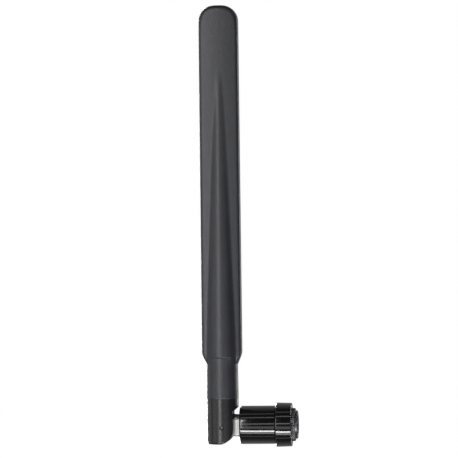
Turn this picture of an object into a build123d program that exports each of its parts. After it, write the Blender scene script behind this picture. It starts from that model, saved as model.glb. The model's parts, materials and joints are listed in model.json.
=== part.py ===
"""Paddle-shaped omnidirectional antenna with a right-angle hinge and a screw-on coaxial plug.

Frame, in millimetres: the origin is the centre of the plug's front reference plane, on the
plug's axis. +X is the way the mating socket leaves, +Z is up along the blade, and +Y goes
towards the back of the blade.
"""
from build123d import *
from math import pi, tan
import os

os.makedirs("parts", exist_ok=True)

# ---- driving dimensions ----
BLADE_X = -32.8  # the blade's own axis
PIVOT_Z = -1.0  # the hinge pin sits just below the plug's axis

BLADE_TOP = 186.6
BLADE_WIDTH_LOW = 17.6
BLADE_WIDTH_HIGH = 17.35
BLADE_HALF_THICK = 4.4
BLADE_CORNER_R = 6.9
BLADE_EDGE_R = 1.3
COLUMN_R_LOW = 7.45  # the round column that thins out up the blade's faces
COLUMN_TOP = 157.0
SHOULDER_HIGH = 31.6
SHOULDER_LOW = 27.0
NECK_R_HIGH = 6.95
NECK_R_LOW = 7.1
SEAM_Z = 11.8
WALL = 1.5

KNUCKLE_R = 7.05
KNUCKLE_BOTTOM = -8.4
KNUCKLE_FLAT = 4.75  # from the blade's axis to the cheeks' flat front
KNUCKLE_CHIN_R = 6.2
KNUCKLE_EDGE_R = 1.1
CHEEK_TOP = 6.2
SPIGOT_R = 5.45
SPIGOT_LENGTH = 8.0

TONGUE_HALF_THICK = 2.5
TONGUE_HALF_HEIGHT = 3.9
TONGUE_GAP = 0.35
SHIM_THICK = 0.25
PIN_R = 1.0
PIN_HALF_LENGTH = 6.5

COAX_R = 0.9
COAX_Z = 4.05  # height of the coax where it crosses the hinge gap

BARREL_BACK = -25.1
BARREL_FRONT = -9.2
BARREL_R = 8.5
BARREL_BORE_R = 6.8
BARREL_WALL = -11.3  # inner face of the barrel's front wall
WALL_HOLE_R = 5.2  # hole in that wall, which the bush fills
DISC_BACK = -24.7  # plated disc that closes the barrel's back
DISC_FRONT = -22.4
DISC_R = 7.2
BUSH_FLANGE_R = 6.3
WASHER_BACK = -12.45
WASHER_FRONT = -12.02
WASHER_R = 6.2
COLLAR_BACK = -9.0
COLLAR_FRONT = -2.0
COLLAR_R_BACK = 9.85
COLLAR_R_FRONT = 9.65
COLLAR_BORE_R = 7.0
NUT_R = 7.35
KNURL_FRONT = -0.4
NUT_FRONT = 0.6
RING_R = 6.3
KNURL_COUNT = 54
KNURL_GAP = 0.3
KNURL_DEPTH = 0.16
THREAD_MINOR_R = 5.15  # 7/16-28 UNEF inside the nut
THREAD_BACK = -6.2
NUT_BORE_R = 5.2  # behind the thread, over the plug body's flange
NUT_GROOVE_R = 5.75  # floor of the snap ring's groove in the nut
SNAP_RING_BACK = -7.6
SNAP_RING_FRONT = -7.1
FERRULE_R = 3.99
FERRULE_BORE_R = 3.5
FERRULE_LENGTH = 5.3
SEAT_BACK = -6.1  # front of the plug body's flange, where the mouth gasket rests
SEAT_R = 3.8  # foot of the plug body inside the gasket
FLANGE_R = 4.9
BODY_GROOVE_R = 4.3  # floor of the snap ring's groove in the plug body
GASKET_R = 4.85
CONTACT_R = 0.68
CONTACT_TIP = -0.4
CONTACT_STEP = -9.6
CONTACT_BACK = -13.0
SOLDER_END_R = 0.8
BEAD_BACK = -8.0  # where the two insulators meet
REAR_BEAD_R = 2.1
SHANK_R = 4.0  # the plug body's rear shank, which the base swivels on
SHANK_FRONT = -9.3
CLIP_GROOVE_BACK = -13.1
CLIP_GROOVE_FRONT = -12.5
CLIP_GROOVE_R = 3.4
STEM_R = 1.6  # thin stem at the back, which the coax is crimped on
STEM_FRONT = -14.0
STEM_BACK = -15.4
STEM_BORE_R = 0.95
CRIMP_R = 2.05
CRIMP_BACK = -15.9

BOARD_HALF_WIDTH = 4.9
BOARD_HALF_THICK = 0.4
BOARD_LOW = 34.0
BOARD_HIGH = 178.0
FEED_Z = 106.0
COPPER_THICK = 0.1
ARM_HALF_WIDTH = 4.4
LOWER_PLATE_LOW = 40.0
LOWER_PLATE_HIGH = 94.0
UPPER_PLATE_LOW = 118.0
UPPER_PLATE_HIGH = 174.0
CHOKE_SLOT_WIDTH = 0.8
SPACER_HEIGHTS = (56.0, 130.0, 168.0)


def save(node, shape):
    """Write one sub-part."""
    export_step(shape, f"parts/{node}.step")


def turned(points, axis=Axis.X):
    """A solid of revolution about the plug's axis from (x, radius) points."""
    outline = make_face(Polyline(*[(x, 0, r) for x, r in points], close=True))
    return revolve(outline, axis)


def upright(points, x=BLADE_X):
    """A solid of revolution about a vertical axis from (radius, z) points."""
    outline = make_face(Polyline(*[(x + r, 0, z) for r, z in points], close=True))
    return revolve(outline, Axis((x, 0, 0), (0, 0, 1)))


def across(radius, half_length, x, z, y=0.0):
    """A round bar along Y."""
    bar = Cylinder(radius, 2 * half_length, rotation=(90, 0, 0))
    return Pos(x, y, z) * bar


def block(low, high):
    """A box between two corners."""
    size = [b - a for a, b in zip(low, high)]
    middle = [(a + b) / 2 for a, b in zip(low, high)]
    return Pos(*middle) * Box(*size)


def plate(outline, half_thick):
    """A face in the XZ plane grown to both sides of it."""
    return extrude(outline, amount=half_thick, dir=(0, 1, 0), both=True)


# ---- blade ----
def paddle_outline(inset=0.0, low=SHOULDER_LOW):
    """The blade's flat outline: rounded top corners and shoulders that run in to the neck."""
    half_low = BLADE_WIDTH_LOW / 2 - inset
    half_high = BLADE_WIDTH_HIGH / 2 - inset
    top = BLADE_TOP - inset
    foot = NECK_R_HIGH - inset
    points = [
        (-foot, low),
        (-half_low, SHOULDER_HIGH),
        (-half_high, top),
        (half_high, top),
        (half_low, SHOULDER_HIGH),
        (foot, low),
    ]
    face = make_face(Polyline(*[(BLADE_X + x, 0, z) for x, z in points], close=True))
    corners = face.vertices().filter_by(lambda v: v.Z > top - 1)
    return fillet(corners, BLADE_CORNER_R - inset)


def column(inset=0.0):
    """The neck, and the cone above it that thins out into the blade's faces."""
    step_z = SHOULDER_LOW + 1.9
    points = [
        (0, SEAM_Z),
        (NECK_R_LOW - inset, SEAM_Z),
        (NECK_R_HIGH - inset, step_z),
        (COLUMN_R_LOW - inset, SHOULDER_HIGH),
        (BLADE_HALF_THICK - inset, COLUMN_TOP),
        (0, COLUMN_TOP),
    ]
    return upright(points)


def radome_outside():
    """The whole outer shape of the blade."""
    wing = plate(paddle_outline(), BLADE_HALF_THICK)
    rims = wing.edges().filter_by(lambda e: abs(abs(e.center().Y) - BLADE_HALF_THICK) < 0.01)
    rims = rims.filter_by(lambda e: e.center().Z > SHOULDER_LOW + 0.1)
    return fillet(rims, BLADE_EDGE_R) + column()


def radome_inside():
    """The hollow that holds the board, open at the neck."""
    wing = plate(paddle_outline(WALL), BLADE_HALF_THICK - WALL)
    bore = upright([(0, SEAM_Z), (5.5, SEAM_Z), (5.4, SHOULDER_LOW), (0, SHOULDER_LOW)])
    return wing + column(WALL) + bore


def radome_halves():
    """Front and rear shells, welded along the blade's mid plane."""
    shell = radome_outside() - radome_inside()
    front = shell & block((-60, -20, 0), (0, 0, 200))
    rear = shell & block((-60, 0, 0), (0, 20, 200))
    return front, rear


# ---- knuckle and hinge ----
def knuckle_outline():
    """Side view of the knuckle: chamfer above the cheeks and a large round under the chin."""
    right = KNUCKLE_FLAT
    chamfer_high = CHEEK_TOP + (KNUCKLE_R - KNUCKLE_FLAT) * 0.85
    points = [
        (-KNUCKLE_R - 1, KNUCKLE_BOTTOM),
        (right, KNUCKLE_BOTTOM),
        (right, CHEEK_TOP),
        (KNUCKLE_R + 1, chamfer_high + 0.85),
        (KNUCKLE_R + 1, SEAM_Z),
        (-KNUCKLE_R - 1, SEAM_Z),
    ]
    face = make_face(Polyline(*[(BLADE_X + x, 0, z) for x, z in points], close=True))
    chin = face.vertices().filter_by(lambda v: v.Z < 0 and v.X > BLADE_X)
    return fillet(chin, KNUCKLE_CHIN_R)


def knuckle():
    """Clevis that carries the blade: two cheeks round a slot, and a spigot up into the neck."""
    post = upright([(0, KNUCKLE_BOTTOM), (KNUCKLE_R, KNUCKLE_BOTTOM), (KNUCKLE_R, SEAM_Z), (0, SEAM_Z)])
    post = fillet(post.edges().sort_by(Axis.Z)[0], KNUCKLE_EDGE_R)
    body = post & plate(knuckle_outline(), KNUCKLE_R + 1)
    top = SEAM_Z + SPIGOT_LENGTH
    spigot = upright(
        [
            (0, SEAM_Z - 1),
            (SPIGOT_R, SEAM_Z - 1),
            (SPIGOT_R, top - 0.6),
            (SPIGOT_R - 0.6, top),
            (0, top),
        ]
    )
    body += spigot
    # slot for the tongue, which swings from the front of the knuckle to below it
    gap = TONGUE_HALF_THICK + SHIM_THICK + 0.05
    reach = TONGUE_HALF_HEIGHT + TONGUE_GAP
    slot = across(reach, gap, BLADE_X, PIVOT_Z)
    slot += block((BLADE_X, -gap, KNUCKLE_BOTTOM - 1), (BLADE_X + 9, gap, PIVOT_Z + reach))
    slot += block((BLADE_X - reach, -gap, KNUCKLE_BOTTOM - 1), (BLADE_X + 1, gap, PIVOT_Z))
    # passage for the coax: in from the front, then up the middle
    lane = COAX_R + 0.5
    slot += block((BLADE_X - 2.2, -lane, PIVOT_Z), (BLADE_X + 9, lane, CHEEK_TOP + 1.6))
    slot += block((BLADE_X - 2.2, -lane, PIVOT_Z), (BLADE_X + 3.0, lane, SEAM_Z))
    slot += upright([(0, SEAM_Z - 2.5), (3.2, SEAM_Z - 2.5), (3.2, top + 1), (0, top + 1)])
    pin_hole = across(PIN_R, KNUCKLE_R + 1, BLADE_X, PIVOT_Z)
    return body - slot - pin_hole


def pivot_pin():
    """Plain steel pin with chamfered ends, pressed into the cheeks."""
    pin = Cylinder(PIN_R, 2 * PIN_HALF_LENGTH, rotation=(90, 0, 0))
    pin = chamfer(pin.edges().filter_by(GeomType.CIRCLE), 0.2)
    return Pos(BLADE_X, 0, PIVOT_Z) * pin


def friction_shims():
    """Two thin washers, one each side of the tongue."""
    middle = TONGUE_HALF_THICK + 0.02 + SHIM_THICK / 2
    ring = across(3.4, SHIM_THICK / 2, BLADE_X, PIVOT_Z) - across(PIN_R + 0.05, 1, BLADE_X, PIVOT_Z)
    return Compound([Pos(0, side * middle, 0) * ring for side in (-1, 1)])


# ---- swivel base ----
def hinge_tongue():
    """Plated brass disc in the back of the barrel, with the flat lug that the blade turns on."""
    disc = turned([(DISC_BACK, 0), (DISC_BACK, DISC_R), (DISC_FRONT, DISC_R), (DISC_FRONT, 0)])
    half = TONGUE_HALF_HEIGHT
    lug_end = DISC_BACK + 0.7
    lug = block(
        (BLADE_X, -TONGUE_HALF_THICK, PIVOT_Z - half),
        (lug_end, TONGUE_HALF_THICK, PIVOT_Z + half),
    )
    lug += across(half, TONGUE_HALF_THICK, BLADE_X, PIVOT_Z)
    lug = chamfer(
        lug.edges().filter_by(Axis.X).filter_by(lambda e: e.center().X > BLADE_X), 0.35
    )
    hole = across(PIN_R + 0.04, 5, BLADE_X, PIVOT_Z)
    lane = COAX_R + 0.35
    notch = block((DISC_BACK - 1, -lane, 1.5), (DISC_FRONT + 1, lane, COAX_Z + lane))
    relief = block((DISC_BACK - 1, -lane, PIVOT_Z + half), (lug_end, lane, COAX_Z + lane))
    return disc + lug - hole - notch - relief


def barrel_shell():
    """Smooth round cover of the swivel base, open at the back for the tongue's disc."""
    round_r = 0.7
    outside = turned(
        [
            (BARREL_BACK, 0),
            (BARREL_BACK, BARREL_R - 1.1),
            (BARREL_BACK + 0.35, BARREL_R - 0.4),
            (BARREL_BACK + 1.0, BARREL_R),
            (BARREL_FRONT - round_r / 2, BARREL_R),
            (BARREL_FRONT, BARREL_R - round_r / 2),
            (BARREL_FRONT, 0),
        ]
    )
    inside = turned(
        [
            (BARREL_BACK - 1, 0),
            (BARREL_BACK - 1, DISC_R),
            (DISC_FRONT, DISC_R),
            (DISC_FRONT, BARREL_BORE_R),
            (BARREL_WALL, BARREL_BORE_R),
            (BARREL_WALL, WALL_HOLE_R),
            (BARREL_FRONT + 1, WALL_HOLE_R),
            (BARREL_FRONT + 1, 0),
        ]
    )
    return outside - inside


def swivel_bush():
    """Flanged plastic bush pressed into the front of the barrel."""
    inner = SHANK_R + 0.04
    back = BARREL_WALL - 0.7
    front = BARREL_FRONT - 0.15
    return turned(
        [
            (back, inner),
            (back, BUSH_FLANGE_R),
            (BARREL_WALL, BUSH_FLANGE_R),
            (BARREL_WALL, WALL_HOLE_R),
            (front, WALL_HOLE_R),
            (front, inner),
        ]
    )


def swivel_washer():
    """Spring washer that gives the swivel its drag."""
    inner = SHANK_R + 0.1
    return turned(
        [(WASHER_BACK, inner), (WASHER_BACK, WASHER_R), (WASHER_FRONT, WASHER_R), (WASHER_FRONT, inner)]
    )


def swivel_clip():
    """Sprung clip in the shank's groove, which keeps the base on the plug."""
    return open_ring(CLIP_GROOVE_BACK + 0.05, CLIP_GROOVE_FRONT, CLIP_GROOVE_R + 0.05, 5.9, 50)


def open_ring(back, front, inner, outer, gap_angle):
    """A flat ring with a gap at its top, as a clip sprung into a groove has."""
    ring = turned([(back, inner), (back, outer), (front, outer), (front, inner)])
    half = outer * tan(gap_angle * pi / 360)
    return ring - block((back - 1, -half, 0), (front + 1, half, outer + 1))


# ---- plug ----
def plug_body():
    """Turned brass body: front seat, ring groove for the nut, and the shank for the swivel."""
    outside = turned(
        [
            (STEM_BACK, 0),
            (STEM_BACK, STEM_R),
            (STEM_FRONT, STEM_R),
            (STEM_FRONT, SHANK_R - 0.2),
            (STEM_FRONT + 0.2, SHANK_R),
            (CLIP_GROOVE_BACK, SHANK_R),
            (CLIP_GROOVE_BACK, CLIP_GROOVE_R),
            (CLIP_GROOVE_FRONT, CLIP_GROOVE_R),
            (CLIP_GROOVE_FRONT, SHANK_R),
            (SHANK_FRONT, SHANK_R),
            (SHANK_FRONT, FLANGE_R),
            (SNAP_RING_BACK - 0.15, FLANGE_R),
            (SNAP_RING_BACK - 0.15, BODY_GROOVE_R),
            (SNAP_RING_FRONT + 0.15, BODY_GROOVE_R),
            (SNAP_RING_FRONT + 0.15, FLANGE_R),
            (SEAT_BACK, FLANGE_R),
            (SEAT_BACK, SEAT_R),
            (-FERRULE_LENGTH, SEAT_R),
            (-FERRULE_LENGTH, 0),
        ]
    )
    inside = turned(
        [
            (STEM_BACK - 1, 0),
            (STEM_BACK - 1, STEM_BORE_R),
            (CONTACT_BACK, STEM_BORE_R),
            (CONTACT_BACK, REAR_BEAD_R),
            (BEAD_BACK, REAR_BEAD_R),
            (BEAD_BACK, FERRULE_BORE_R),
            (1 - FERRULE_LENGTH, FERRULE_BORE_R),
            (1 - FERRULE_LENGTH, 0),
        ]
    )
    return outside - inside


def outer_contact():
    """Plated tube that enters the socket."""
    back = -FERRULE_LENGTH
    return turned(
        [
            (back, FERRULE_BORE_R),
            (back, FERRULE_R),
            (-0.25, FERRULE_R),
            (0, FERRULE_R - 0.15),
            (0, FERRULE_BORE_R + 0.1),
            (-0.1, FERRULE_BORE_R),
        ]
    )


def centre_contact():
    """Gold-plated centre pin with a blunt point and a solder cup behind."""
    pin = turned(
        [
            (CONTACT_BACK, 0),
            (CONTACT_BACK, SOLDER_END_R),
            (CONTACT_STEP, SOLDER_END_R),
            (CONTACT_STEP, CONTACT_R),
            (CONTACT_TIP - 0.9, CONTACT_R),
            (CONTACT_TIP - 0.1, 0.3),
            (CONTACT_TIP, 0.15),
            (CONTACT_TIP, 0),
        ]
    )
    cup_floor = CONTACT_BACK + 1.6
    cup = turned([(CONTACT_BACK - 1, 0), (CONTACT_BACK - 1, 0.3), (cup_floor, 0.3), (cup_floor, 0)])
    return pin - cup


def front_insulator():
    """White bead that centres the pin behind the mouth."""
    shoulder = -5.6
    front = -4.6
    return turned(
        [
            (BEAD_BACK, CONTACT_R),
            (BEAD_BACK, FERRULE_BORE_R),
            (shoulder, FERRULE_BORE_R),
            (shoulder, 2.3),
            (front, 2.3),
            (front, CONTACT_R),
        ]
    )


def rear_insulator():
    """White bead round the solder cup."""
    return turned(
        [
            (CONTACT_BACK, SOLDER_END_R),
            (CONTACT_BACK, REAR_BEAD_R),
            (BEAD_BACK, REAR_BEAD_R),
            (BEAD_BACK, CONTACT_R),
            (CONTACT_STEP, CONTACT_R),
            (CONTACT_STEP, SOLDER_END_R),
        ]
    )


def mouth_gasket():
    """Soft ring on the body's foot, just behind the outer contact."""
    front = -FERRULE_LENGTH - 0.05
    return turned([(SEAT_BACK, SEAT_R), (SEAT_BACK, GASKET_R), (front, GASKET_R), (front, SEAT_R)])


def crimp_sleeve():
    """Sleeve that grips the coax screen on the body's stem."""
    return turned(
        [
            (CRIMP_BACK, STEM_BORE_R),
            (CRIMP_BACK, CRIMP_R),
            (STEM_FRONT - 0.1, CRIMP_R),
            (STEM_FRONT - 0.1, STEM_R),
            (STEM_BACK, STEM_R),
            (STEM_BACK, STEM_BORE_R),
        ]
    )


def coupling_nut():
    """Knurled nut with the thread's bore in front and the snap ring's groove behind."""
    back = COLLAR_BACK + 0.25
    outside = turned(
        [
            (back, 0),
            (back, COLLAR_BORE_R),
            (COLLAR_FRONT, COLLAR_BORE_R),
            (COLLAR_FRONT, NUT_R),
            (KNURL_FRONT - 0.25, NUT_R),
            (KNURL_FRONT, NUT_R - 0.25),
            (KNURL_FRONT, RING_R),
            (NUT_FRONT - 0.3, RING_R),
            (NUT_FRONT, RING_R - 0.3),
            (NUT_FRONT, 0),
        ]
    )
    inside = turned(
        [
            (back - 1, 0),
            (back - 1, NUT_BORE_R),
            (SNAP_RING_BACK - 0.2, NUT_BORE_R),
            (SNAP_RING_BACK - 0.2, NUT_GROOVE_R),
            (SNAP_RING_FRONT + 0.2, NUT_GROOVE_R),
            (SNAP_RING_FRONT + 0.2, NUT_BORE_R),
            (THREAD_BACK, NUT_BORE_R),
            (THREAD_BACK, THREAD_MINOR_R),
            (NUT_FRONT - 0.5, THREAD_MINOR_R),
            (NUT_FRONT - 0.1, THREAD_MINOR_R + 0.45),
            (NUT_FRONT + 1, THREAD_MINOR_R + 0.45),
            (NUT_FRONT + 1, 0),
        ]
    )
    nut = outside - inside
    groove = block(
        (COLLAR_FRONT + 0.3, -KNURL_GAP / 2, NUT_R - KNURL_DEPTH),
        (KNURL_FRONT - 0.3, KNURL_GAP / 2, NUT_R + 1),
    )
    cuts = [groove.rotate(Axis.X, 360 * k / KNURL_COUNT) for k in range(KNURL_COUNT)]
    return nut - cuts


def grip_collar():
    """Smooth finger grip pressed over the nut."""
    return turned(
        [
            (COLLAR_BACK, COLLAR_BORE_R),
            (COLLAR_BACK, COLLAR_R_BACK - 0.5),
            (COLLAR_BACK + 0.5, COLLAR_R_BACK),
            (COLLAR_FRONT - 0.35, COLLAR_R_FRONT),
            (COLLAR_FRONT, COLLAR_R_FRONT - 0.35),
            (COLLAR_FRONT, COLLAR_BORE_R),
        ]
    )


def nut_snap_ring():
    """Sprung ring, half in the plug body and half in the nut, that keeps the nut on."""
    return open_ring(SNAP_RING_BACK, SNAP_RING_FRONT, BODY_GROOVE_R + 0.1, NUT_GROOVE_R - 0.15, 30)


# ---- radiator ----
def board():
    """Glass-fibre board that carries the two dipole arms."""
    half = BOARD_HALF_WIDTH
    return block(
        (BLADE_X - half, -BOARD_HALF_THICK, BOARD_LOW),
        (BLADE_X + half, BOARD_HALF_THICK, BOARD_HIGH),
    )


def upper_arm():
    """Upper dipole arm: a stem from the feed that widens into the plate."""
    front = -BOARD_HALF_THICK - COPPER_THICK
    half = ARM_HALF_WIDTH
    wide = block(
        (BLADE_X - half, front, UPPER_PLATE_LOW),
        (BLADE_X + half, -BOARD_HALF_THICK, UPPER_PLATE_HIGH),
    )
    stem = block((BLADE_X - 1.0, front, FEED_Z + 1.0), (BLADE_X + 1.0, -BOARD_HALF_THICK, UPPER_PLATE_LOW))
    slot_left = BLADE_X - 2.6
    slot = block(
        (slot_left, front - 1, UPPER_PLATE_LOW + 8.0),
        (slot_left + CHOKE_SLOT_WIDTH, 1, UPPER_PLATE_HIGH - 6.0),
    )
    return wide + stem - slot


def lower_arm():
    """Lower dipole arm: the plate below the feed, with a long choke slot."""
    front = -BOARD_HALF_THICK - COPPER_THICK
    half = ARM_HALF_WIDTH
    wide = block(
        (BLADE_X - half, front, LOWER_PLATE_LOW),
        (BLADE_X + half, -BOARD_HALF_THICK, LOWER_PLATE_HIGH),
    )
    stem = block((BLADE_X - 2.0, front, LOWER_PLATE_HIGH), (BLADE_X + 2.0, -BOARD_HALF_THICK, FEED_Z - 1.0))
    slot_left = BLADE_X + 2.6
    slot = block(
        (slot_left, front - 1, LOWER_PLATE_LOW + 6.0),
        (slot_left + CHOKE_SLOT_WIDTH, 1, LOWER_PLATE_HIGH - 6.0),
    )
    return wide + stem - slot


def solder_joints():
    """Two small beads: the screen on the lower arm and the core on the upper one."""
    front = -BOARD_HALF_THICK - COPPER_THICK
    beads = []
    for z, radius, height in ((FEED_Z - 2.2, 0.9, 0.25), (FEED_Z + 2.0, 0.7, 0.25)):
        bead = Cylinder(radius, height, rotation=(90, 0, 0))
        beads.append(Pos(BLADE_X, front - height / 2, z) * bead)
    return Compound(beads)


def board_spacers():
    """Moulded blocks in front of and behind the board that hold it in the middle of the blade."""
    half = 4.2
    reach = BLADE_HALF_THICK - WALL - 0.05
    beside_coax = BLADE_X - COAX_R - 0.7
    spacers = []
    for z in SPACER_HEIGHTS:
        low, high = z - 3, z + 3
        back = block((BLADE_X - half, BOARD_HALF_THICK, low), (BLADE_X + half, reach, high))
        front = block((BLADE_X - half, -reach, low), (beside_coax, -BOARD_HALF_THICK - COPPER_THICK, high))
        spacers += [back, front]
    return Compound(spacers)


# ---- coax ----
COAX_FACE_Y = -BOARD_HALF_THICK - COPPER_THICK - COAX_R - 0.05  # jacket beside the lower arm
COAX_ROUTE = [
    (CRIMP_BACK, 0.0, 0.0),
    (-18.5, 0.0, 0.0),
    (-23.3, 0.0, COAX_Z),
    (-33.4, 0.0, COAX_Z),
    (-33.4, 0.0, 14.5),
    (-32.0, -0.5, 23.5),
    (BLADE_X, COAX_FACE_Y, 32.0),
    (BLADE_X, COAX_FACE_Y, FEED_Z - 7.0),
]
COAX_BENDS = [6.3, 7.0, 5.6, 35.0, 25.0, 40.0]  # radius at each corner between the ends


def coax_path():
    """Line of the coax from the crimp, over the hinge and up to the feed."""
    return FilletPolyline(*COAX_ROUTE, radius=COAX_BENDS)


def coax_jacket():
    """The jacketed length of the coax, in one piece."""
    path = coax_path()
    section = Plane(origin=path @ 0, z_dir=path % 0) * Circle(COAX_R)
    tube = sweep(section, path)
    ratio = tube.volume / (pi * COAX_R**2 * path.length)
    print("coax length", round(path.length, 2), "volume over section times length", round(ratio, 4))
    return tube


def straight_tube(radius, low, high):
    """A round length along Z on the coax's line beside the board."""
    return Pos(BLADE_X, COAX_FACE_Y, (low + high) / 2) * Cylinder(radius, high - low)


def coax_tail():
    """Stripped end of the coax: screen, insulation and core."""
    end = COAX_ROUTE[-1][2]
    core_end = FEED_Z + 2.6
    screen = straight_tube(0.7, end, end + 5.0)
    insulation = straight_tube(0.42, end + 5.0, end + 8.0)
    core = straight_tube(0.16, end + 8.0, core_end)
    return screen, insulation, core


front, rear = radome_halves()
screen, insulation, core = coax_tail()
nodes = {
    "radome_front": front,
    "radome_rear": rear,
    "knuckle": knuckle(),
    "pivot_pin": pivot_pin(),
    "friction_shims": friction_shims(),
    "hinge_tongue": hinge_tongue(),
    "barrel_shell": barrel_shell(),
    "swivel_bush": swivel_bush(),
    "swivel_washer": swivel_washer(),
    "swivel_clip": swivel_clip(),
    "plug_body": plug_body(),
    "outer_contact": outer_contact(),
    "centre_contact": centre_contact(),
    "front_insulator": front_insulator(),
    "rear_insulator": rear_insulator(),
    "mouth_gasket": mouth_gasket(),
    "crimp_sleeve": crimp_sleeve(),
    "nut_snap_ring": nut_snap_ring(),
    "coupling_nut": coupling_nut(),
    "grip_collar": grip_collar(),
    "radiator_board": board(),
    "upper_arm": upper_arm(),
    "lower_arm": lower_arm(),
    "solder_joints": solder_joints(),
    "board_spacers": board_spacers(),
    "coax_jacket": coax_jacket(),
    "coax_screen": screen,
    "coax_insulation": insulation,
    "coax_core": core,
}
for name, shape in nodes.items():
    save(name, shape)
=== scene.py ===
"""Looks for the paddle-shaped omnidirectional antenna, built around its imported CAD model."""
import json
import math

import bmesh
import bpy
import numpy as np
from mathutils import Matrix, Vector

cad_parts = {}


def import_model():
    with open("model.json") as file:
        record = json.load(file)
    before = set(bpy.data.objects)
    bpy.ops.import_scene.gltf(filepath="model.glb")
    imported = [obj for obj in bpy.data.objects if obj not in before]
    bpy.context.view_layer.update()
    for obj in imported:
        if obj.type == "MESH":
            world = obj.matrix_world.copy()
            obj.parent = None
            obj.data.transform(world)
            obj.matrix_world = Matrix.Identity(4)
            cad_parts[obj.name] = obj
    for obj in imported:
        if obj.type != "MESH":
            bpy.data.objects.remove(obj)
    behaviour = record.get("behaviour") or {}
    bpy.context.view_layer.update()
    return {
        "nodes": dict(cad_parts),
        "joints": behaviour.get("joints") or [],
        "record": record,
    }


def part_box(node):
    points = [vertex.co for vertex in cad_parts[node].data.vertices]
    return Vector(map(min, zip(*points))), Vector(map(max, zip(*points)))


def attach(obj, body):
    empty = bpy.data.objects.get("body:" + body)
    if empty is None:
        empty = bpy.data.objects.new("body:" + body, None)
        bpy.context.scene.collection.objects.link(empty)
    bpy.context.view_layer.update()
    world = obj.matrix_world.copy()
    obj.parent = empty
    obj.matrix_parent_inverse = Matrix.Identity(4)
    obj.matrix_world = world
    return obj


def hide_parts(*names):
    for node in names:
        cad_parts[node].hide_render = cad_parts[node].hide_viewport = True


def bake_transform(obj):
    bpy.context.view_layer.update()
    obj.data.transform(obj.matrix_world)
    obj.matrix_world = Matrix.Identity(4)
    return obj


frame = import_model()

MM = 0.001


# ---------------------------------------------------------------- places from the frame
joints = {j["name"]: j for j in frame["joints"]}
BLADE_X, _, PIVOT_Z = [v / MM for v in joints["blade_tilt"]["pos_m"]]


def box_mm(node):
    """Lowest and highest corners of a CAD node, in millimetres."""
    low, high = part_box(node)
    return [v / MM for v in low], [v / MM for v in high]


radome_low, radome_high = box_mm("radome_front")
barrel_low, barrel_high = box_mm("barrel_shell")
collar_low, collar_high = box_mm("grip_collar")
nut_low, nut_high = box_mm("coupling_nut")
contact_low, contact_high = box_mm("outer_contact")
gasket_low, gasket_high = box_mm("mouth_gasket")
pin_low, pin_high = box_mm("pivot_pin")


# ---------------------------------------------------------------- mesh helpers
MERGE_M = 1e-7  # points closer than this are one point


def mesh_object(name, points_mm, faces, sharp_deg=35):
    """A mesh object from points in millimetres, with edges sharper than sharp_deg kept crisp."""
    mesh = bpy.data.meshes.new(name)
    mesh.from_pydata([tuple(c * MM for c in p) for p in points_mm], [], faces)
    bm = bmesh.new()
    bm.from_mesh(mesh)
    bmesh.ops.remove_doubles(bm, verts=bm.verts, dist=MERGE_M)
    bmesh.ops.recalc_face_normals(bm, faces=bm.faces)
    for face in bm.faces:
        face.smooth = True
    for edge in bm.edges:
        if len(edge.link_faces) == 2:
            edge.smooth = edge.calc_face_angle(0) < math.radians(sharp_deg)
    bm.to_mesh(mesh)
    bm.free()
    piece = bpy.data.objects.new(name, mesh)
    bpy.context.scene.collection.objects.link(piece)
    return piece


def rounded(points, radii, steps=5):
    """A closed outline with its corners rounded to the given radii."""
    out = []
    count = len(points)
    for k, (here, radius) in enumerate(zip(points, radii)):
        here = np.array(here, float)
        if radius <= 0:
            out.append(tuple(here))
            continue
        before = np.array(points[k - 1], float) - here
        after = np.array(points[(k + 1) % count], float) - here
        before /= np.linalg.norm(before)
        after /= np.linalg.norm(after)
        half = math.acos(np.clip(before @ after, -1, 1)) / 2
        reach = radius / math.tan(half)
        middle = (before + after) / np.linalg.norm(before + after)
        centre = here + middle * radius / math.sin(half)
        first = here + before * reach - centre
        last = here + after * reach - centre
        swing = math.pi - 2 * half
        for s in range(steps + 1):
            t = s / steps
            arc = (math.sin((1 - t) * swing) * first + math.sin(t * swing) * last) / math.sin(swing)
            out.append(tuple(centre + arc))
    return out


def lathe(name, outline, segments, shape=None, sharp_deg=35):
    """A ring turned about the X axis from a closed outline of (x, radius) points.

    shape(x, radius, angle) may move each point's radius, as a knurl or a thread does.
    """
    points, faces = [], []
    count = len(outline)
    for s in range(segments):
        angle = 2 * math.pi * s / segments
        for x, radius in outline:
            r = shape(x, radius, angle) if shape else radius
            points.append((x, r * math.sin(angle), r * math.cos(angle)))
    for s in range(segments):
        a, b = s * count, (s + 1) % segments * count
        for k in range(count):
            m = (k + 1) % count
            faces.append((a + k, a + m, b + m, b + k))
    return mesh_object(name, points, faces, sharp_deg=sharp_deg)


def turned_solid(name, outline, segments):
    """A solid turned about the X axis from an open outline that starts and ends on the axis."""
    inner = outline[1:-1]
    count = len(inner)
    points, faces = [], []
    for s in range(segments):
        angle = 2 * math.pi * s / segments
        for x, radius in inner:
            points.append((x, radius * math.sin(angle), radius * math.cos(angle)))
    first, last = len(points), len(points) + 1
    points += [(outline[0][0], 0, 0), (outline[-1][0], 0, 0)]
    for s in range(segments):
        a, b = s * count, (s + 1) % segments * count
        for k in range(count - 1):
            faces.append((a + k, a + k + 1, b + k + 1, b + k))
        faces.append((first, a, b))
        faces.append((a + count - 1, last, b + count - 1))
    return mesh_object(name, points, faces)


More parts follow.
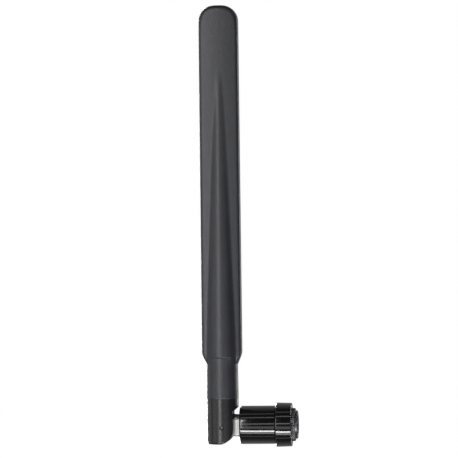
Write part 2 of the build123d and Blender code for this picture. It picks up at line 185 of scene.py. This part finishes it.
def cable(name, route_mm, radius_mm):
    """A closed round tube along the smooth line of a route."""
    curve = bpy.data.curves.new(name + "_line", "CURVE")
    curve.dimensions = "3D"
    spline = curve.splines.new("NURBS")
    spline.points.add(len(route_mm) - 1)
    for point, place in zip(spline.points, route_mm):
        point.co = (*[c * MM for c in place], 1)
    spline.order_u = 3
    spline.use_endpoint_u = True
    spline.resolution_u = 24
    curve.bevel_depth = radius_mm * MM
    curve.bevel_resolution = 8
    curve.use_fill_caps = True
    carrier = bpy.data.objects.new(name + "_line", curve)
    mesh = bpy.data.meshes.new_from_object(carrier)
    bpy.data.objects.remove(carrier)
    points = [v.co / MM for v in mesh.vertices]
    faces = [tuple(polygon.vertices) for polygon in mesh.polygons]
    return mesh_object(name, points, faces, sharp_deg=50)


# ---------------------------------------------------------------- materials
COAT_ROUGHNESS = 0.1
NOISE_LOW, NOISE_HIGH = 0.3, 0.7  # a noise texture's values mostly lie between these
TONE_SHARE = 0.12  # the tone varies in lumps this many times as few as the grain's
BRUSHED_TONE = 0.06


def new_material(name, base, roughness, metallic=0.0, coat=0.0):
    """A Principled material. Returns it with its node tree, shader and a texture coordinate node."""
    material = bpy.data.materials.new(name)
    material.use_nodes = True
    tree = material.node_tree
    shader = tree.nodes["Principled BSDF"]
    shader.inputs["Base Color"].default_value = (*base, 1)
    shader.inputs["Roughness"].default_value = roughness
    shader.inputs["Metallic"].default_value = metallic
    shader.inputs["Coat Weight"].default_value = coat
    shader.inputs["Coat Roughness"].default_value = COAT_ROUGHNESS
    place = tree.nodes.new("ShaderNodeTexCoord")
    return material, tree, shader, place


def noise(tree, place, scale, detail=4.0, roughness=0.55, stretch=(1, 1, 1)):
    """A noise texture in the object's own space; scale is in lumps per metre."""
    mapping = tree.nodes.new("ShaderNodeMapping")
    mapping.inputs["Scale"].default_value = stretch
    tree.links.new(place.outputs["Object"], mapping.inputs["Vector"])
    texture = tree.nodes.new("ShaderNodeTexNoise")
    texture.inputs["Scale"].default_value = scale
    texture.inputs["Detail"].default_value = detail
    texture.inputs["Roughness"].default_value = roughness
    tree.links.new(mapping.outputs["Vector"], texture.inputs["Vector"])
    return texture.outputs["Fac"]


def ramp(tree, factor, dark, light):
    """Colours from dark to light as a noise goes from low to high."""
    node = tree.nodes.new("ShaderNodeValToRGB")
    node.color_ramp.elements[0].position = NOISE_LOW
    node.color_ramp.elements[1].position = NOISE_HIGH
    node.color_ramp.elements[0].color = (*dark, 1)
    node.color_ramp.elements[1].color = (*light, 1)
    tree.links.new(factor, node.inputs["Fac"])
    return node.outputs["Color"]


def spread(tree, factor, low, high):
    """A noise stretched to run from low to high."""
    node = tree.nodes.new("ShaderNodeMapRange")
    node.inputs["From Min"].default_value = NOISE_LOW
    node.inputs["From Max"].default_value = NOISE_HIGH
    node.inputs["To Min"].default_value = low
    node.inputs["To Max"].default_value = high
    tree.links.new(factor, node.inputs["Value"])
    return node.outputs["Result"]


def bump(tree, shader, height, depth):
    """Relief of the given depth in metres."""
    node = tree.nodes.new("ShaderNodeBump")
    node.inputs["Strength"].default_value = 1.0
    node.inputs["Distance"].default_value = depth
    tree.links.new(height, node.inputs["Height"])
    tree.links.new(node.outputs["Normal"], shader.inputs["Normal"])


def mottled(name, base, spread_by, grain, roughness, relief, metallic=0.0, coat=0.0, gloss_by=0.05):
    """A moulded, cast or plated surface: slight tone variation, uneven gloss and a fine relief.

    grain is in lumps per metre and relief in metres; 0 leaves the relief out.
    """
    material, tree, shader, place = new_material(name, base, roughness, metallic, coat)
    tone = noise(tree, place, grain * TONE_SHARE, detail=3)
    dark = [c * (1 - spread_by) for c in base]
    light = [c * (1 + spread_by) for c in base]
    tree.links.new(ramp(tree, tone, dark, light), shader.inputs["Base Color"])
    fine = noise(tree, place, grain, detail=2)
    gloss = spread(tree, fine, max(0.02, roughness - gloss_by), roughness + gloss_by)
    tree.links.new(gloss, shader.inputs["Roughness"])
    if relief:
        bump(tree, shader, fine, relief)
    return material


def brushed(name, base, roughness, stretch, scale=900, depth=0.000002):
    """Turned or ground metal: fine lines along the way that the stretch is smallest."""
    material, tree, shader, place = new_material(name, base, roughness, metallic=1.0)
    lines = noise(tree, place, scale, detail=5, roughness=0.6, stretch=stretch)
    dark = [c * (1 - BRUSHED_TONE) for c in base]
    light = [c * (1 + BRUSHED_TONE) for c in base]
    tree.links.new(ramp(tree, lines, dark, light), shader.inputs["Base Color"])
    gloss = spread(tree, lines, max(0.03, roughness - 0.05), roughness + 0.07)
    tree.links.new(gloss, shader.inputs["Roughness"])
    bump(tree, shader, lines, depth)
    return material


MATERIALS = {
    "radome": mottled("radome", (0.0195, 0.0200, 0.0255), 0.10, 1700, 0.39, 0.00006),
    "knuckle": mottled("knuckle", (0.009, 0.009, 0.0105), 0.08, 900, 0.29, 0.0, gloss_by=0.02),
    "gloss_black": mottled("gloss_black", (0.0045, 0.0045, 0.005), 0.10, 900, 0.10, 0.0, coat=0.6),
    "black_nickel": mottled("black_nickel", (0.10, 0.10, 0.105), 0.10, 1200, 0.34, 0.0, metallic=0.9),
    "nickel": brushed("nickel", (0.43, 0.425, 0.42), 0.34, (1, 1, 0.12), scale=2600, depth=0.0000008),
    "steel": brushed("steel", (0.085, 0.085, 0.09), 0.30, (1, 0.15, 1)),
    "spring_steel": brushed("spring_steel", (0.36, 0.36, 0.38), 0.30, (3, 1, 1)),
    "shim": mottled("shim", (0.70, 0.68, 0.60), 0.04, 2500, 0.45, 0.000004),
    "acetal": mottled("acetal", (0.76, 0.75, 0.70), 0.04, 2500, 0.40, 0.000004),
    "ptfe": mottled("ptfe", (0.82, 0.82, 0.80), 0.03, 2500, 0.38, 0.000003),
    "gold": brushed("gold", (0.86, 0.62, 0.24), 0.18, (0.2, 1, 1)),
    "gasket": mottled("gasket", (0.42, 0.07, 0.035), 0.08, 3000, 0.55, 0.000006),
    "board": mottled("board", (0.025, 0.11, 0.045), 0.10, 1500, 0.25, 0.000003, coat=0.4),
    "copper": brushed("copper", (0.78, 0.40, 0.22), 0.28, (1, 1, 0.2)),
    "solder": mottled("solder", (0.66, 0.67, 0.68), 0.06, 2500, 0.22, 0.00001, metallic=1.0),
    "tinned_copper": brushed("tinned_copper", (0.66, 0.64, 0.60), 0.30, (1, 1, 4), scale=2600),
    "coax_jacket": mottled("coax_jacket", (0.006, 0.006, 0.006), 0.10, 2200, 0.24, 0.000003),
}


def paint(piece, slot_name):
    """Give a piece its only material, and the record's slot of the same name."""
    piece.data.materials.clear()
    piece.data.materials.append(MATERIALS[slot_name])


def fitted(piece, body, node, slot_name):
    """Put a painted piece on its body in place of its CAD node."""
    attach(piece, body)
    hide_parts(node)
    paint(piece, slot_name)


for part in frame["record"]["subparts"]:
    paint(frame["nodes"][part["node"]], part["material_slot"])
for node in frame["nodes"].values():
    for polygon in node.data.polygons:
        polygon.material_index = 0


# ---------------------------------------------------------------- radome
NECK_LOW_R = 7.1
NECK_HIGH_R = 6.95
SEAM_Z = radome_low[2]
BLADE_TOP = radome_high[2]
SHOULDER_LOW = 27.0
SHOULDER_HIGH = 31.6
WING_LOW = (radome_high[0] - radome_low[0]) / 2
WING_HIGH = 8.67  # half width at the top, as WING_LOW is above the shoulder
WING_THICK = 4.4  # half thickness
CORNER_R = 6.9
EDGE_R = 1.3
TOP_EDGE_R = 2.0
TOP_EDGE_FROM, TOP_EDGE_TO = 12.0, 4.0  # the edges grow rounder between these depths below the top
COLUMN_LOW_R = -radome_low[1]
COLUMN_TOP = 155.0
COLUMN_DIVE = 0.25  # how fast the column sinks under the face above its top
CREASE_LOW_R = 1.1  # round where the column meets the face, low and high on the blade
CREASE_HIGH_R = 0.3
CROWN = 0.45  # how much thinner the blade is near its edges
WALL = 1.5
BORE_R = 5.5
WELD_GROOVE = 0.10  # depth of the fine line where the halves and the knuckle meet
FULL_SECTION_Z = SHOULDER_HIGH + 1.7  # the shoulder aims at the section of this height
SIDE_ROUND = 8.0
FACE_STEP_LOW, FACE_STEP_HIGH = SHOULDER_LOW + 2.9, SHOULDER_LOW + 3.3
FACE_STEP_ROUND = 0.4
LARGEST_R = 14.0
HALVINGS = 40


def ease(value, low, high):
    """0 below low, 1 above high, and smooth between."""
    t = np.clip((value - low) / (high - low), 0, 1)
    return t * t * (3 - 2 * t)


def rounded_step(z, low, high, radius, rise):
    """0 below low, then a straight slope that is rounded off into 1 at high."""
    slope = rise / (high - low)
    turn = math.atan(slope)
    reach = radius * math.tan(turn / 2)
    start, stop = high - reach * math.cos(turn), high + reach
    if z <= low:
        return 0.0
    if z < start:
        return (z - low) / (high - low)
    if z < stop:
        sag = radius - math.sqrt(radius**2 - (stop - z) ** 2)
        return 1 - sag / rise
    return 1.0


def half_width(z, inset):
    """Half width of the blade, without its rounded corners."""
    t = np.clip((z - SHOULDER_HIGH) / (BLADE_TOP - SHOULDER_HIGH), 0, 1)
    return WING_LOW + (WING_HIGH - WING_LOW) * t - inset


def up_the_column(z):
    """0 at the column's foot and 1 at its top."""
    return min((z - SHOULDER_HIGH) / (COLUMN_TOP - SHOULDER_HIGH), 1)


def column_radius(z, inset):
    """The column thins out upwards and dives under the blade's face near its top."""
    straight = COLUMN_LOW_R + (WING_THICK - COLUMN_LOW_R) * up_the_column(z)
    return straight - COLUMN_DIVE * max(z - COLUMN_TOP, 0) - inset


def face_height(x, z, inset):
    """How far the blade's face stands off its mid plane at (x, z), below 0 outside the outline."""
    wide = half_width(z, inset)
    top = BLADE_TOP - inset
    corner = CORNER_R - inset
    across = np.abs(x)
    side = np.minimum(wide - across, top - z)
    in_corner = (across > wide - corner) & (z > top - corner)
    out = corner - np.hypot(across - (wide - corner), z - (top - corner))
    depth = np.where(in_corner, out, side)
    edge = EDGE_R + (TOP_EDGE_R - EDGE_R) * ease(z, top - TOP_EDGE_FROM, top - TOP_EDGE_TO)
    edge = np.maximum(edge - inset * 0.5, 0.5)
    crown = 0 if inset else CROWN * (x / WING_LOW) ** 2
    thick = WING_THICK - inset - crown
    inward = np.clip(edge - depth, 0, edge)
    wing = thick - edge + np.sqrt(edge**2 - inward**2)
    radius = column_radius(z, inset)
    column = np.sqrt(np.clip(radius**2 - x**2, 0, None))
    crease = CREASE_LOW_R + (CREASE_HIGH_R - CREASE_LOW_R) * up_the_column(z)
    near = np.clip(crease - np.abs(wing - column), 0, None)
    joined = np.maximum(wing, column) + near**2 / (4 * crease)
    return np.where(depth < -1e-9, -1.0, joined)


def section_radius(angles, z, inset):
    """Distance from the blade's axis to its surface at each angle, found by halving."""
    low = np.zeros_like(angles)
    high = np.full_like(angles, LARGEST_R)
    for _ in range(HALVINGS):
        middle = (low + high) / 2
        x, y = middle * np.cos(angles), np.abs(middle * np.sin(angles))
        inside = y <= face_height(x, z, inset)
        low = np.where(inside, middle, low)
        high = np.where(inside, high, middle)
    return low


def radome_ring(angles, z, inset):
    """One level of the radome: the neck's circle, the shoulder, or the blade's section."""
    t = np.clip((z - SEAM_Z) / (SHOULDER_LOW - SEAM_Z), 0, 1)
    neck = NECK_LOW_R + (NECK_HIGH_R - NECK_LOW_R) * t
    if inset:
        neck = BORE_R
    if z <= SHOULDER_LOW:
        return np.full_like(angles, neck)
    full = section_radius(angles, max(z, FULL_SECTION_Z), inset)
    at_side = rounded_step(z, SHOULDER_LOW, SHOULDER_HIGH, SIDE_ROUND, WING_LOW - NECK_HIGH_R)
    face_rise = COLUMN_LOW_R - NECK_HIGH_R
    at_face = rounded_step(z, FACE_STEP_LOW, FACE_STEP_HIGH, FACE_STEP_ROUND, face_rise)
    facing = ease(np.abs(np.sin(angles)), 0.75, 1.0)
    share = at_side + (at_face - at_side) * facing
    return neck + (full - neck) * share


def radome_levels(inset):
    """Heights of the rings, close together where the shape changes quickly."""
    top = BLADE_TOP - inset
    levels = [SEAM_Z, SEAM_Z + 0.15, SEAM_Z + 0.4]
    levels += list(np.arange(SEAM_Z + 3, SHOULDER_LOW - 0.5, 3.0))
    levels += list(np.arange(SHOULDER_LOW, SHOULDER_HIGH + 2.2, 0.1))
    levels += list(np.linspace(SHOULDER_HIGH + 3, top - CORNER_R - 1, 70))
    rise = np.linspace(0, math.pi / 2, 26)
    levels += list(top - CORNER_R + CORNER_R * np.sin(rise))
    return levels


def radome_shell(name, node, side):
    """One half of the radome: side is -1 for the front and 1 for the rear."""
    fine = np.concatenate([[0, 0.7], np.arange(1.5, 178.6, 1.5), [179.3, 180]])
    angles = np.radians(fine) * side
    count = len(angles)
    points, faces = [], []
    rows = {}
    for inset in (0.0, WALL):
        start = len(points)
        for z in radome_levels(inset):
            ring = radome_ring(angles, z, inset)
            if not inset:
                ring = ring - WELD_GROOVE * (z == SEAM_Z)
                ring[0] -= WELD_GROOVE
                ring[-1] -= WELD_GROOVE
            for radius, angle in zip(ring, angles):
                points.append((BLADE_X + radius * math.cos(angle), radius * math.sin(angle), z))
        rows[inset] = (start, (len(points) - start) // count)
    for start, levels in rows.values():
        for k in range(levels - 1):
            a, b = start + k * count, start + (k + 1) * count
            for s in range(count - 1):
                faces.append((a + s, a + s + 1, b + s + 1, b + s))
        faces.append(tuple(range(start + (levels - 1) * count, start + levels * count)))
    # flat faces on the mid plane, where the halves meet, and at the neck's foot
    outer, levels = rows[0.0]
    inner, _ = rows[WALL]
    for k in range(levels - 1):
        for edge in (0, count - 1):
            a, b = outer + k * count + edge, inner + k * count + edge
            faces.append((a, a + count, b + count, b))
    for s in range(count - 1):
        faces.append((outer + s, outer + s + 1, inner + s + 1, inner + s))
    last_out, last_in = outer + (levels - 1) * count, inner + (levels - 1) * count
    faces.append((last_out, last_out + count - 1, last_in + count - 1, last_in))
    fitted(mesh_object(name, points, faces, sharp_deg=40), "blade", node, "radome")


radome_shell("radome_front_shell", "radome_front", -1)
radome_shell("radome_rear_shell", "radome_rear", 1)


# ---------------------------------------------------------------- swivel base and plug
BARREL_R = barrel_high[2]
RECESS_R, RECESS_FLOOR = 7.22, -22.4  # the tongue's disc fills it
BARREL_BORE_R = 6.8
BARREL_WALL = -11.3
WALL_HOLE_R = 5.2
barrel_outline = rounded(
    [
        (barrel_low[0], RECESS_R),
        (barrel_low[0], BARREL_R),
        (barrel_high[0], BARREL_R),
        (barrel_high[0], WALL_HOLE_R),
        (BARREL_WALL, WALL_HOLE_R),
        (BARREL_WALL, BARREL_BORE_R),
        (RECESS_FLOOR, BARREL_BORE_R),
        (RECESS_FLOOR, RECESS_R),
    ],
    [0.1, 0.85, 0.3, 0.1, 0, 0, 0, 0],
)
fitted(lathe("barrel_cover", barrel_outline, 220), "base", "barrel_shell", "gloss_black")

COLLAR_R = collar_high[2]
COLLAR_TAPER = 0.2
COLLAR_BORE_R = 7.0
collar_outline = rounded(
    [
        (collar_low[0], COLLAR_BORE_R),
        (collar_low[0], COLLAR_R),
        (collar_high[0], COLLAR_R - COLLAR_TAPER),
        (collar_high[0], COLLAR_BORE_R),
    ],
    [0.1, 0.45, 0.35, 0.1],
)
fitted(lathe("grip_ring", collar_outline, 220), "coupling", "grip_collar", "gloss_black")

THREAD_PITCH = 0.907
THREAD_DEPTH = 0.42
THREAD_LOW, THREAD_HIGH = -6.2, 0.0
THREAD_GROOVE_SHARE = 0.42  # half the groove's share of a turn
THREAD_STEPS = 10  # rows of points in each turn's length
MINOR_R = 5.15
KNURL_TEETH = 54
KNURL_FRONT = -0.4
KNURL_DEPTH = 0.2
NUT_R = 7.35
MOUTH_RING_R = 6.3
NUT_BORE_R = 5.2
RING_GROOVE = (-7.8, -6.9, 5.75)  # the snap ring's groove: back, front and radius


def nut_shape(x, radius, angle):
    """The knurl on the outside and the right-hand thread on the inside."""
    if abs(radius - MINOR_R) < 0.001:
        turn = (x / THREAD_PITCH - angle / (2 * math.pi)) % 1
        groove = max(0.0, 1 - abs(turn - 0.5) / THREAD_GROOVE_SHARE)
        fade = ease(x, THREAD_LOW, THREAD_LOW + 0.5) * (1 - ease(x, THREAD_HIGH - 0.4, THREAD_HIGH))
        return radius + THREAD_DEPTH * groove * float(fade)
    if radius > NUT_R - 0.01:
        tooth = abs(((angle * KNURL_TEETH / (2 * math.pi)) % 1) - 0.5) * 2
        return radius - KNURL_DEPTH * min(1.0, tooth * 1.5)
    return radius


def nut_outline():
    """Closed section of the nut: outside, mouth, thread and snap ring groove."""
    under_collar = COLLAR_BORE_R - 0.02
    groove_back, groove_front, groove_r = RING_GROOVE
    outside = rounded(
        [
            (nut_low[0], NUT_BORE_R + 0.05),
            (nut_low[0], under_collar),
            (collar_high[0], under_collar),
            (collar_high[0], NUT_R),
            (KNURL_FRONT - 0.25, NUT_R),
            (KNURL_FRONT, NUT_R - 0.25),
            (KNURL_FRONT, MOUTH_RING_R),
            (nut_high[0], MOUTH_RING_R),
            (nut_high[0], 5.62),
            (nut_high[0] - 0.45, MINOR_R + 0.004),
        ],
        [0, 0, 0, 0, 0, 0.08, 0.05, 0.3, 0.1, 0],
    )
    thread = [(x, MINOR_R) for x in np.arange(THREAD_HIGH, THREAD_LOW, -THREAD_PITCH / THREAD_STEPS)]
    groove = [
        (THREAD_LOW - 0.1, NUT_BORE_R),
        (groove_front, NUT_BORE_R),
        (groove_front, groove_r),
        (groove_back, groove_r),
        (groove_back, NUT_BORE_R + 0.05),
    ]
    return outside + thread + groove


nut = lathe("coupling_nut_knurled", nut_outline(), 720, shape=nut_shape, sharp_deg=30)
fitted(nut, "coupling", "coupling_nut", "black_nickel")

SLEEVE_R = 3.99
SLEEVE_BORE_R = 3.5
contact_outline = rounded(
    [
        (contact_low[0], SLEEVE_BORE_R),
        (contact_low[0], SLEEVE_R),
        (contact_high[0], SLEEVE_R),
        (contact_high[0], SLEEVE_BORE_R),
    ],
    [0, 0, 0.2, 0.15],
)
fitted(lathe("plug_sleeve", contact_outline, 128), "connector", "outer_contact", "nickel")

NEEDLE_OUTLINE = [
    (-13.0, 0),
    (-13.0, 0.8),
    (-9.6, 0.8),
    (-9.6, 0.68),
    (-1.5, 0.68),
    (-0.9, 0.5),
    (-0.5, 0.28),
    (-0.4, 0),
]
fitted(turned_solid("plug_needle", NEEDLE_OUTLINE, 64), "connector", "centre_contact", "gold")

GASKET_R = 4.85
GASKET_BORE_R = 3.8
gasket_outline = rounded(
    [
        (gasket_low[0], GASKET_BORE_R),
        (gasket_low[0], GASKET_R),
        (gasket_high[0], GASKET_R),
        (gasket_high[0], GASKET_BORE_R),
    ],
    [0, 0, 0.3, 0.3],
)
fitted(lathe("seal_ring", gasket_outline, 96), "connector", "mouth_gasket", "gasket")


# ---------------------------------------------------------------- knuckle and tongue
HARD_EDGE_DEG = 32
FLAT_DEG = 0.4  # faces that meet at less than this are joined into one


def softened(name, body, node, slot_name, width):
    """A copy of a CAD node with clean shading and its hard edges rounded off."""
    bm = bmesh.new()
    bm.from_mesh(frame["nodes"][node].data)
    bmesh.ops.remove_doubles(bm, verts=bm.verts, dist=1e-6)
    bmesh.ops.dissolve_limit(bm, angle_limit=math.radians(FLAT_DEG), verts=bm.verts, edges=bm.edges)
    points = [v.co / MM for v in bm.verts]
    faces = [tuple(v.index for v in face.verts) for face in bm.faces]
    bm.free()
    piece = mesh_object(name, points, faces, sharp_deg=HARD_EDGE_DEG)
    bevel = piece.modifiers.new("bevel", "BEVEL")
    bevel.width = width * MM
    bevel.segments = 3
    bevel.limit_method = "ANGLE"
    bevel.angle_limit = math.radians(HARD_EDGE_DEG)
    fitted(piece, body, node, slot_name)


softened("knuckle_moulding", "blade", "knuckle", "knuckle", 0.25)
softened("tongue_lug", "base", "hinge_tongue", "nickel", 0.12)


# ---------------------------------------------------------------- pin and coax
CUP_DEPTH = 0.35
CUP_R = 0.72


def pivot_pin():
    """Round pin across the knuckle, with a shallow cup drilled into each end."""
    length = pin_high[1]
    radius = (pin_high[0] - pin_low[0]) / 2
    turns = np.linspace(0.05, math.pi / 2, 9)
    cup = [(length - CUP_DEPTH * math.cos(a), CUP_R * math.sin(a)) for a in turns]
    rim = [(length, 0.80), (length - 0.04, 0.9), (length - 0.12, radius)]
    half = cup + rim
    outline = [(-length + CUP_DEPTH, 0)] + [(-x, r) for x, r in half]
    outline += [(x, r) for x, r in reversed(half)] + [(length - CUP_DEPTH, 0)]
    piece = turned_solid("pivot_pin_cupped", outline, 48)
    for vertex in piece.data.vertices:
        x, y, z = vertex.co
        vertex.co = (BLADE_X * MM - y, x, PIVOT_Z * MM + z)
    fitted(piece, "blade", "pivot_pin", "steel")


pivot_pin()

COAX_R = 0.9
COAX_Z = 4.05
COAX_FACE_Y = -1.45
COAX_ROUTE = [
    (-15.9, 0.0, 0.0),
    (-18.5, 0.0, 0.0),
    (-23.3, 0.0, COAX_Z),
    (-33.4, 0.0, COAX_Z),
    (-33.4, 0.0, 14.5),
    (-32.0, -0.5, 23.5),
    (BLADE_X, COAX_FACE_Y, 32.0),
    (BLADE_X, COAX_FACE_Y, 99.0),
]
coax = cable("coax_cable", COAX_ROUTE, COAX_R)
paint(coax, "coax_jacket")
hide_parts("coax_jacket")
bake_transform(coax)


# ---------------------------------------------------------------- floor, light and camera
FLOOR_GLOW = 0.88
FLOOR_Z = -0.2  # metres; below the blade's tip when the swivel has turned it upside down
FLOOR_REACH = 4.0


def floor():
    """A wide pale sheet under everything that moves."""
    mesh = bpy.data.meshes.new("studio_floor")
    signs = ((-1, -1), (1, -1), (1, 1), (-1, 1))
    corners = [(a * FLOOR_REACH, b * FLOOR_REACH, FLOOR_Z) for a, b in signs]
    mesh.from_pydata(corners, [], [(0, 1, 2, 3)])
    sheet = bpy.data.objects.new("studio_floor", mesh)
    bpy.context.scene.collection.objects.link(sheet)
    material = mottled("floor", (0.86, 0.86, 0.86), 0.01, 40, 0.6, 0.0)
    shader = material.node_tree.nodes["Principled BSDF"]
    shader.inputs["Emission Color"].default_value = (1, 1, 1, 1)
    shader.inputs["Emission Strength"].default_value = FLOOR_GLOW
    mesh.materials.append(material)
    # the low lamps shine up past the sheet, and it doesn't show in the glossy covers
    sheet.visible_shadow = False
    sheet.visible_glossy = False
    sheet.visible_diffuse = False


floor()

VIEW_AZIMUTH = 5.0
CAMERA_DISTANCE = 1.6
SENSOR_MM = 36
FRAME_MM = 203.8  # width of the picture at the blade
AIM_HEIGHT = 87.2
AIM_ASIDE = 3.65
ROLL = -0.68  # degrees


def direction(azimuth, elevation):
    """Unit vector towards a bearing round the blade: 0 is in front and 90 is at the plug's side."""
    a, e = math.radians(azimuth), math.radians(elevation)
    return Vector((math.sin(a) * math.cos(e), -math.cos(a) * math.cos(e), math.sin(e)))


def add_camera():
    """Level camera with a long lens, a little to the plug's side."""
    back = direction(VIEW_AZIMUTH, 0)
    right = Vector((0, 0, 1)).cross(back).normalized()
    aim = Vector((BLADE_X, 0, AIM_HEIGHT)) * MM + right * AIM_ASIDE * MM
    data = bpy.data.cameras.new("camera")
    data.sensor_width = SENSOR_MM
    data.lens = SENSOR_MM * CAMERA_DISTANCE / (FRAME_MM * MM)
    data.clip_start, data.clip_end = 0.05, 50
    camera = bpy.data.objects.new("camera", data)
    bpy.context.scene.collection.objects.link(camera)
    camera.location = aim + back * CAMERA_DISTANCE
    camera.rotation_mode = "QUATERNION"
    facing = (-back).to_track_quat("-Z", "Y").to_matrix().to_4x4()
    roll = Matrix.Rotation(math.radians(ROLL), 4, "Z")
    camera.rotation_quaternion = (facing @ roll).to_quaternion()
    bpy.context.scene.camera = camera


add_camera()


def panel(name, azimuth, elevation, distance, width, height, power, aim):
    """A soft rectangular light that faces the object."""
    data = bpy.data.lights.new(name, "AREA")
    data.shape = "RECTANGLE"
    data.size, data.size_y = width, height
    data.energy = power
    lamp = bpy.data.objects.new(name, data)
    bpy.context.scene.collection.objects.link(lamp)
    target = Vector(aim) * MM
    lamp.location = target + direction(azimuth, elevation) * distance
    lamp.rotation_mode = "QUATERNION"
    lamp.rotation_quaternion = (-direction(azimuth, elevation)).to_track_quat("-Z", "Y")
    lamp.visible_camera = False


BLADE_MIDDLE = (BLADE_X, 0, 80)
BLADE_LAMP_ELEVATION, BLADE_LAMP_DISTANCE = 5, 1.2
BLADE_LAMP_WIDTH, BLADE_LAMP_HEIGHT = 0.18, 1.1
PLUG_MIDDLE = (-14, 0, 0)
PLUG_LAMP_AZIMUTH, PLUG_LAMP_DISTANCE = 5, 0.7
PLUG_LAMP_WIDTH = 1.1
# upright panels round the blade: name, azimuth, power
BLADE_LAMPS = [
    ("key", -18, 5.6),
    ("key_wide", -40, 0.7),
    ("side_fill", -55, 1.2),
    ("side_far", -70, 1.0),
    ("left_rim", -98, 0.7),
    ("left_rim_far", -122, 0.7),
    ("right_fill", 18, 0.15),
    ("right_rim", 120, 0.6),
    ("right_back", 145, 4.0),
    ("left_back", -160, 12.0),
]
# level bars over and under the plug: name, elevation, height, power
PLUG_LAMPS = [
    ("low_bar", -36, 0.07, 5.0),
    ("low_bar_under", -47, 0.14, 1.4),
    ("low_fill", -72, 0.10, 0.15),
    ("level_fill", -14, 0.17, 0.55),
    ("thin_bar", 8, 0.05, 0.42),
    ("high_bar", 47, 0.05, 0.27),
    ("top_fill", 72, 0.10, 0.15),
]
for name, azimuth, power in BLADE_LAMPS:
    place = (azimuth, BLADE_LAMP_ELEVATION, BLADE_LAMP_DISTANCE)
    panel(name, *place, BLADE_LAMP_WIDTH, BLADE_LAMP_HEIGHT, power, BLADE_MIDDLE)
for name, elevation, height, power in PLUG_LAMPS:
    place = (PLUG_LAMP_AZIMUTH, elevation, PLUG_LAMP_DISTANCE)
    panel(name, *place, PLUG_LAMP_WIDTH, height, power, PLUG_MIDDLE)


TOWARDS_BACK = (-0.25, 0.97, 0.0)
DIM_BELOW, BRIGHT_ABOVE = -0.2, 0.6  # how far a direction points to the back
DIM, BRIGHT = 0.01, 0.29


def world():
    """White surroundings as seen; as light, bright behind the object and dim in front."""
    made = bpy.data.worlds.new("studio")
    bpy.context.scene.world = made
    made.use_nodes = True
    tree = made.node_tree
    back = tree.nodes["Background"]
    place = tree.nodes.new("ShaderNodeTexCoord")
    dot = tree.nodes.new("ShaderNodeVectorMath")
    dot.operation = "DOT_PRODUCT"
    dot.inputs[1].default_value = TOWARDS_BACK
    tree.links.new(place.outputs["Generated"], dot.inputs[0])
    grade = tree.nodes.new("ShaderNodeMapRange")
    grade.interpolation_type = "SMOOTHSTEP"
    grade.inputs["From Min"].default_value = DIM_BELOW
    grade.inputs["From Max"].default_value = BRIGHT_ABOVE
    grade.inputs["To Min"].default_value = DIM
    grade.inputs["To Max"].default_value = BRIGHT
    tree.links.new(dot.outputs["Value"], grade.inputs["Value"])
    rays = tree.nodes.new("ShaderNodeLightPath")
    seen = tree.nodes.new("ShaderNodeMath")
    seen.operation = "MAXIMUM"
    tree.links.new(grade.outputs["Result"], seen.inputs[0])
    tree.links.new(rays.outputs["Is Camera Ray"], seen.inputs[1])
    tree.links.new(seen.outputs["Value"], back.inputs["Strength"])
    back.inputs["Color"].default_value = (1, 1, 1, 1)


world()
bpy.context.scene.view_settings.view_transform = "Standard"
